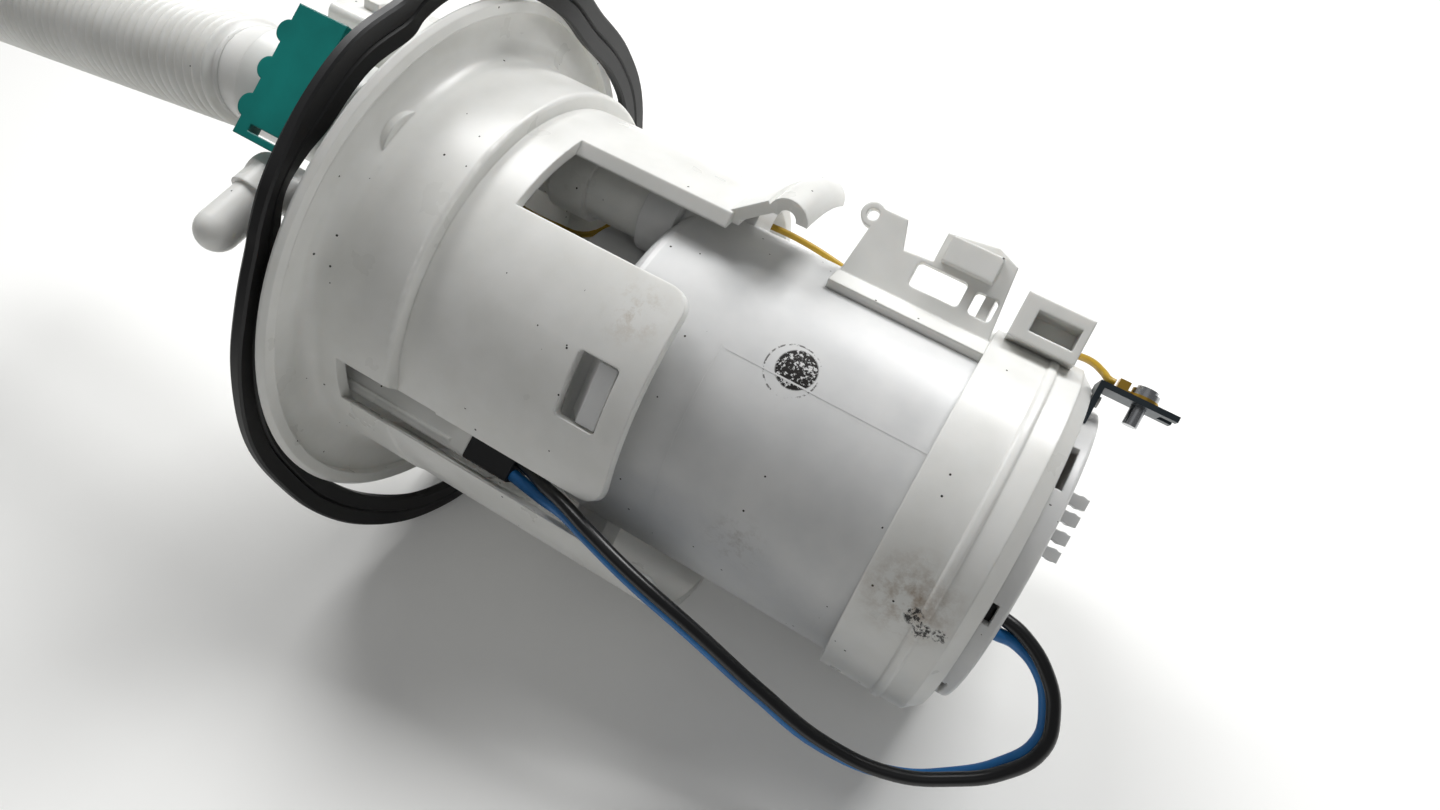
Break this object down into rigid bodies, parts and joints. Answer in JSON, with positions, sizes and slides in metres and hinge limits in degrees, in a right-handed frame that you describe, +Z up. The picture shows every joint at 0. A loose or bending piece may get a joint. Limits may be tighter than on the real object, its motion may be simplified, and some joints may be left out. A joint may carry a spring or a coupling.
{
  "type": "fuel pump module",
  "caption": "In-tank fuel pump module with a round flange, latched filter case, turbine pump, corrugated hose, external socket and hanging pump wires.",
  "frame": {"origin": "centre of the flange seat that rests on the tank opening", "axes": "+Z up out of the tank along the axis of the flange; -Y towards the pictured side"},
  "size_m": [0.1411, 0.1342, 0.3743],
  "materials": {
    "flange_plastic": "satin white moulded acetal",
    "gasket_rubber": "soft black rubber",
    "brass_parts": "plain brass",
    "connector_plastic": "white moulded nylon",
    "retainer_plastic": "teal moulded plastic",
    "seal_rubber": "black fuel rubber",
    "hose_plastic": "white corrugated sleeve",
    "line_plastic": "black fuel line",
    "tube_plastic": "natural acetal",
    "case_plastic": "milky translucent plastic",
    "filter_paper": "pleated filter paper",
    "cover_plastic": "translucent white plastic",
    "strainer_mesh": "woven strainer",
    "zinc_steel": "zinc plated steel",
    "pump_resin": "moulded resin",
    "pump_alloy": "die cast",
    "ferrite": "sintered ferrite",
    "core_steel": "stacked laminations",
    "copper_wire": "copper",
    "bright_steel": "bright steel",
    "impeller_resin": "phenolic",
    "carbon": "carbon brush",
    "black_plastic": "black moulded plastic",
    "black_wire": "black insulated wire",
    "blue_wire": "blue insulated wire",
    "dark_steel": "dark passivated zinc",
    "gold_tin": "gold passivated",
    "gold_wire": "ochre insulated wire"
  },
  "bodies": {
    "module": {"flange_cover": "flange_plastic", "flange_gasket": "gasket_rubber", "terminal_pins": "brass_parts", "outlet_tube": "tube_plastic", "outlet_orings": "seal_rubber", "filter_case": "case_plastic", "filter_element": "filter_paper", "filter_end_discs": "tube_plastic", "bottom_cap": "flange_plastic", "end_cover": "cover_plastic", "inlet_strainer": "strainer_mesh", "pump_cushion": "seal_rubber", "pump_shell": "zinc_steel", "pump_outlet_cover": "pump_resin", "pump_body_plate": "pump_alloy", "pump_inlet_cover": "pump_alloy", "magnets": "ferrite", "bush_upper": "brass_parts", "bush_lower": "brass_parts", "brush_spring_left": "bright_steel", "brush_spring_right": "bright_steel", "check_spring": "bright_steel", "check_stop": "bright_steel", "relief_spring": "bright_steel", "relief_plug": "bright_steel", "regulator_body": "zinc_steel", "regulator_spring": "bright_steel", "regulator_oring": "seal_rubber", "regulator_clip": "bright_steel", "terminal_block": "black_plastic", "pump_leads": "brass_parts", "pump_plug": "black_plastic", "wire_black": "black_wire", "wire_blue": "blue_wire", "sender_bracket": "flange_plastic", "ground_bracket": "dark_steel", "ground_screw": "bright_steel", "ring_terminal": "gold_tin", "ground_wire": "gold_wire"},
    "rotor": {"armature_core": "core_steel", "windings": "copper_wire", "commutator": "copper_wire", "rotor_shaft": "bright_steel", "impeller": "impeller_resin"},
    "check_disc": {"check_valve": "seal_rubber"},
    "relief_piece": {"relief_ball": "bright_steel"},
    "regulator_disc": {"regulator_valve": "brass_parts"},
    "left_brush": {"brush_left": "carbon"},
    "right_brush": {"brush_right": "carbon"},
    "connector": {"quick_connector": "connector_plastic", "connector_orings": "seal_rubber", "corrugated_hose": "hose_plastic", "fuel_line": "line_plastic", "hose_end_fitting": "connector_plastic"},
    "retainer": {"connector_retainer": "retainer_plastic"}
  },
  "joints": [
    {"name": "rotor_spin", "type": "hinge", "parent": "module", "child": "rotor", "pos_m": [0, 0, -0.1], "axis": [0, 0, 1], "continuous": true},
    {"name": "check_lift", "type": "slide", "parent": "module", "child": "check_disc", "axis": [0, 0, 1], "range_m": [0, 0.0015], "stiffness_N_per_m": 60, "springref_m": -0.002, "deforming": ["check_spring"]},
    {"name": "relief_lift", "type": "slide", "parent": "module", "child": "relief_piece", "axis": [0, 0, 1], "range_m": [0, 0.001], "stiffness_N_per_m": 400, "springref_m": -0.002, "deforming": ["relief_spring"]},
    {"name": "regulator_lift", "type": "slide", "parent": "module", "child": "regulator_disc", "axis": [0, 0, 1], "range_m": [0, 0.0008], "stiffness_N_per_m": 900, "springref_m": -0.004, "deforming": ["regulator_spring"]},
    {"name": "left_brush_slide", "type": "slide", "parent": "module", "child": "left_brush", "axis": [0, 0, 1], "range_m": [0, 0.0008], "stiffness_N_per_m": 150, "springref_m": -0.003, "deforming": ["brush_spring_left"]},
    {"name": "right_brush_slide", "type": "slide", "parent": "module", "child": "right_brush", "axis": [0, 0, 1], "range_m": [0, 0.0008], "stiffness_N_per_m": 150, "springref_m": -0.003, "deforming": ["brush_spring_right"]},
    {"name": "connector_swivel", "type": "hinge", "parent": "module", "child": "connector", "pos_m": [0.014, -0.042, 0.02], "axis": [0, 0, 1], "range_deg": [-1, 30]},
    {"name": "retainer_pull", "type": "slide", "parent": "connector", "child": "retainer", "axis": [0, -1, 0], "range_m": [0, 0.005]}
  ]
}
